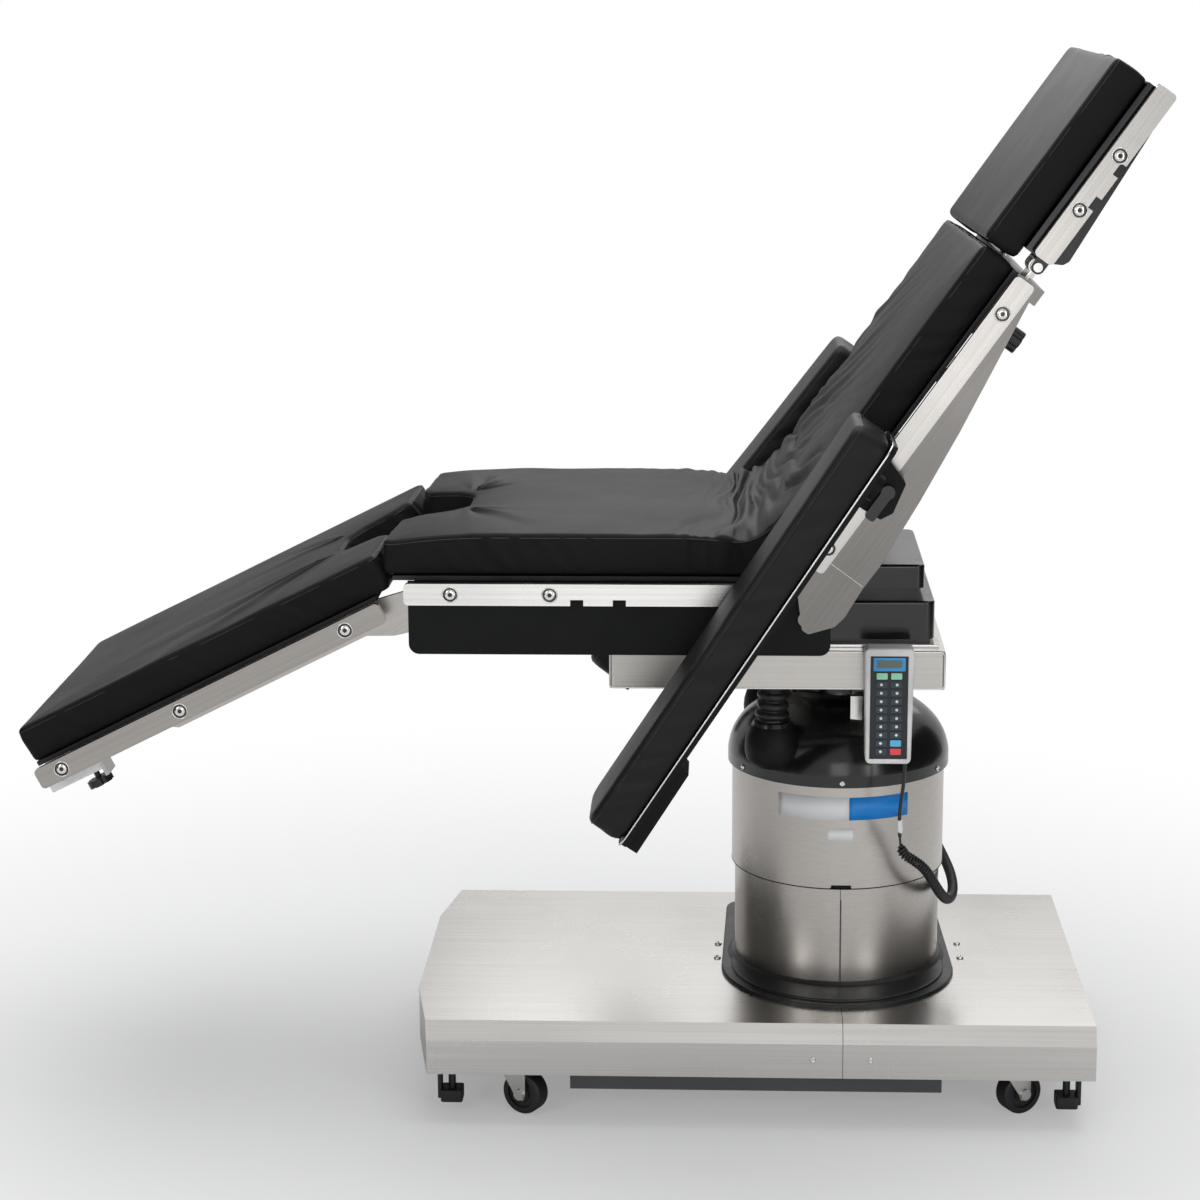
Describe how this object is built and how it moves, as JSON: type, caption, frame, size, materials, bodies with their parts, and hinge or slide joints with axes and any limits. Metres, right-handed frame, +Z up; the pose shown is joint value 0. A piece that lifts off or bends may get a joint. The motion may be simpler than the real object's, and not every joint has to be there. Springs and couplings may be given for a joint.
{
  "type": "operating table",
  "caption": "Operating table: mobile steel base, telescopic column, tilting saddle, hinged leg, seat, back and head pads, side rails, arm boards and a hand control.",
  "frame": {"origin": "on the floor, under the middle of the whole table's bounding box in the pose of the picture", "axes": "+X along the table from the foot end to the head end, +Y across the table to the far side, +Z up from the floor"},
  "size_m": [1.4895, 0.87, 1.3998],
  "materials": {
    "shroud_steel": "brushed",
    "stainless": "satin",
    "frame_steel": "satin",
    "cap_black": "gloss",
    "black_cover": "gloss",
    "black_panel": "satin",
    "pad_vinyl": "satin",
    "black_rubber": "gloss",
    "tyre_rubber": "matte",
    "nylon_white": "satin",
    "chromed": "polished",
    "pendant_grey": "satin",
    "keypad": "satin",
    "cord_black": "satin",
    "knob_black": "satin"
  },
  "bodies": {
    "base": {"base_frame": "frame_steel", "base_cover_foot": "shroud_steel", "base_cover_head": "shroud_steel", "boot_ring": "black_rubber", "lower_shroud": "shroud_steel", "outer_column": "frame_steel"},
    "floor_locks": {"floor_lock_feet": "black_rubber"},
    "column_middle": {"middle_column": "chromed"},
    "sleeve_inner": {"shroud_sleeve_inner": "shroud_steel"},
    "sleeve_outer": {"shroud_sleeve_outer": "shroud_steel"},
    "lift": {"inner_column": "chromed", "upper_shroud": "shroud_steel", "shroud_cap": "cap_black", "gaiters": "black_rubber"},
    "yoke": {"tilt_yoke": "frame_steel"},
    "saddle": {"saddle_beam": "stainless", "saddle_fittings": "chromed", "pendant_lead": "cord_black", "pendant_curl": "cord_black"},
    "pendant": {"pendant_case": "pendant_grey", "pendant_face": "keypad"},
    "seat": {"carriage_covers": "black_cover", "seat_frame": "frame_steel", "seat_side_covers": "black_cover", "seat_panel": "black_panel", "seat_rails": "stainless", "seat_pad": "pad_vinyl"},
    "leg": {"leg_frame": "stainless", "leg_panel": "black_panel", "leg_rails": "stainless", "leg_pad": "pad_vinyl", "foot_blocks": "nylon_white"},
    "foot_knob_near": {"foot_knob_near": "knob_black"},
    "foot_knob_far": {"foot_knob_far": "knob_black"},
    "back": {"back_frame": "stainless", "back_panel": "black_panel", "back_rails": "stainless", "back_pad": "pad_vinyl"},
    "back_knob_near": {"back_knob_near": "knob_black"},
    "back_knob_far": {"back_knob_far": "knob_black"},
    "head_slide": {"head_rods": "chromed"},
    "head": {"head_frame": "black_cover", "head_rails": "stainless", "head_pad": "pad_vinyl"},
    "castor_1": {"castor_fork_1": "stainless"},
    "wheel_1": {"castor_wheel_1": "tyre_rubber"},
    "castor_2": {"castor_fork_2": "stainless"},
    "wheel_2": {"castor_wheel_2": "tyre_rubber"},
    "castor_3": {"castor_fork_3": "stainless"},
    "wheel_3": {"castor_wheel_3": "tyre_rubber"},
    "castor_4": {"castor_fork_4": "stainless"},
    "wheel_4": {"castor_wheel_4": "tyre_rubber"},
    "near_board_clamp": {"near_board_clamp": "frame_steel"},
    "near_board": {"near_board_panel": "black_panel", "near_board_pad": "pad_vinyl"},
    "near_board_lever": {"near_board_lever": "chromed"},
    "far_board_clamp": {"far_board_clamp": "frame_steel"},
    "far_board": {"far_board_panel": "black_panel", "far_board_pad": "pad_vinyl"},
    "far_board_lever": {"far_board_lever": "chromed"}
  },
  "joints": [
    {"name": "castor_swivel_1", "type": "hinge", "parent": "base", "child": "castor_1", "pos_m": [-0.09486, -0.226, 0.082], "axis": [0, 0, 1], "continuous": true},
    {"name": "castor_roll_1", "type": "hinge", "parent": "castor_1", "child": "wheel_1", "pos_m": [-0.07543, -0.23633, 0.0295], "axis": [0.4695, 0.8829, 0], "continuous": true},
    {"name": "castor_swivel_2", "type": "hinge", "parent": "base", "child": "castor_2", "pos_m": [-0.09486, 0.226, 0.082], "axis": [0, 0, 1], "continuous": true},
    {"name": "castor_roll_2", "type": "hinge", "parent": "castor_2", "child": "wheel_2", "pos_m": [-0.07418, 0.23352, 0.0295], "axis": [-0.342, 0.9397, 0], "continuous": true},
    {"name": "castor_swivel_3", "type": "hinge", "parent": "base", "child": "castor_3", "pos_m": [0.57414, -0.226, 0.082], "axis": [0, 0, 1], "continuous": true},
    {"name": "castor_roll_3", "type": "hinge", "parent": "castor_3", "child": "wheel_3", "pos_m": [0.59357, -0.21567, 0.0295], "axis": [-0.4695, 0.8829, 0], "continuous": true},
    {"name": "castor_swivel_4", "type": "hinge", "parent": "base", "child": "castor_4", "pos_m": [0.57414, 0.226, 0.082], "axis": [0, 0, 1], "continuous": true},
    {"name": "castor_roll_4", "type": "hinge", "parent": "castor_4", "child": "wheel_4", "pos_m": [0.59482, 0.21848, 0.0295], "axis": [0.342, 0.9397, 0], "continuous": true},
    {"name": "floor_lock_drop", "type": "slide", "parent": "base", "child": "floor_locks", "axis": [0, 0, -1], "range_m": [0, 0.014]},
    {"name": "lift_travel", "type": "slide", "parent": "base", "child": "lift", "axis": [0, 0, 1], "range_m": [-0.06, 0.32]},
    {"name": "column_middle_travel", "type": "slide", "parent": "base", "child": "column_middle", "axis": [0, 0, 1], "range_m": [-0.03, 0.16]},
    {"name": "sleeve_inner_travel", "type": "slide", "parent": "base", "child": "sleeve_inner", "axis": [0, 0, 1], "range_m": [-0.02, 0.10667]},
    {"name": "sleeve_outer_travel", "type": "slide", "parent": "base", "child": "sleeve_outer", "axis": [0, 0, 1], "range_m": [-0.04, 0.21333]},
    {"name": "trendelenburg", "type": "hinge", "parent": "lift", "child": "yoke", "pos_m": [0.35214, 0, 0.608], "axis": [0, 1, 0], "range_deg": [-20, 20], "deforming": ["pendant_curl", "gaiters"]},
    {"name": "lateral_tilt", "type": "hinge", "parent": "yoke", "child": "saddle", "pos_m": [0.35214, 0, 0.608], "axis": [1, 0, 0], "range_deg": [-15, 15], "deforming": ["pendant_curl", "gaiters"]},
    {"name": "pendant_lift_off", "type": "slide", "parent": "saddle", "child": "pendant", "axis": [0, 0, 1], "range_m": [0, 0.025], "deforming": ["pendant_lead"]},
    {"name": "top_slide", "type": "slide", "parent": "saddle", "child": "seat", "axis": [1, 0, 0], "range_m": [-0.2, 0.03]},
    {"name": "leg_fold", "type": "hinge", "parent": "seat", "child": "leg", "pos_m": [-0.19586, 0, 0.697], "axis": [0, -1, 0], "range_deg": [-26.5, 58.5]},
    {"name": "back_raise", "type": "hinge", "parent": "seat", "child": "back", "pos_m": [0.29714, 0, 0.697], "axis": [0, -1, 0], "range_deg": [-54.5, 25.5]},
    {"name": "foot_knob_near_turn", "type": "hinge", "parent": "leg", "child": "foot_knob_near", "pos_m": [-0.64691, -0.215, 0.46317], "axis": [0.4462, 0, -0.8949], "continuous": true},
    {"name": "back_knob_near_turn", "type": "hinge", "parent": "back", "child": "back_knob_near", "pos_m": [0.55917, -0.15, 1.05056], "axis": [-0.8141, 0, 0.5807], "continuous": true},
    {"name": "foot_knob_far_turn", "type": "hinge", "parent": "leg", "child": "foot_knob_far", "pos_m": [-0.64691, 0.215, 0.46317], "axis": [0.4462, 0, -0.8949], "continuous": true},
    {"name": "back_knob_far_turn", "type": "hinge", "parent": "back", "child": "back_knob_far", "pos_m": [0.55917, 0.15, 1.05056], "axis": [-0.8141, 0, 0.5807], "continuous": true},
    {"name": "head_slide_travel", "type": "slide", "parent": "back", "child": "head_slide", "axis": [0.5807, 0, 0.8141], "range_m": [0, 0.06]},
    {"name": "head_tilt", "type": "hinge", "parent": "head_slide", "child": "head", "pos_m": [0.59259, 0, 1.14219], "axis": [0, -1, 0], "range_deg": [-90, 10]},
    {"name": "near_board_slide", "type": "slide", "parent": "back", "child": "near_board_clamp", "axis": [0.5807, 0, 0.8141], "range_m": [-0.09, 0.25]},
    {"name": "near_board_swivel", "type": "hinge", "parent": "near_board_clamp", "child": "near_board", "pos_m": [0.36944, -0.37, 0.89479], "axis": [-0.8358, 0, 0.549], "range_deg": [0, 120]},
    {"name": "near_board_lever_turn", "type": "hinge", "parent": "near_board_clamp", "child": "near_board_lever", "pos_m": [0.39712, -0.32, 0.87504], "axis": [0, -1, 0], "range_deg": [0, 150]},
    {"name": "far_board_slide", "type": "slide", "parent": "back", "child": "far_board_clamp", "axis": [0.5807, 0, 0.8141], "range_m": [-0.09, 0.25]},
    {"name": "far_board_swivel", "type": "hinge", "parent": "far_board_clamp", "child": "far_board", "pos_m": [0.36944, 0.37, 0.89479], "axis": [0.7902, 0, -0.6129], "range_deg": [0, 120]},
    {"name": "far_board_lever_turn", "type": "hinge", "parent": "far_board_clamp", "child": "far_board_lever", "pos_m": [0.39712, 0.32, 0.87504], "axis": [0, -1, 0], "range_deg": [0, 150]}
  ],
  "couplings": [
    {"joint": "column_middle_travel", "follows": "lift_travel", "ratio": 0.5},
    {"joint": "sleeve_inner_travel", "follows": "lift_travel", "ratio": 0.33333},
    {"joint": "sleeve_outer_travel", "follows": "lift_travel", "ratio": 0.66667}
  ]
}
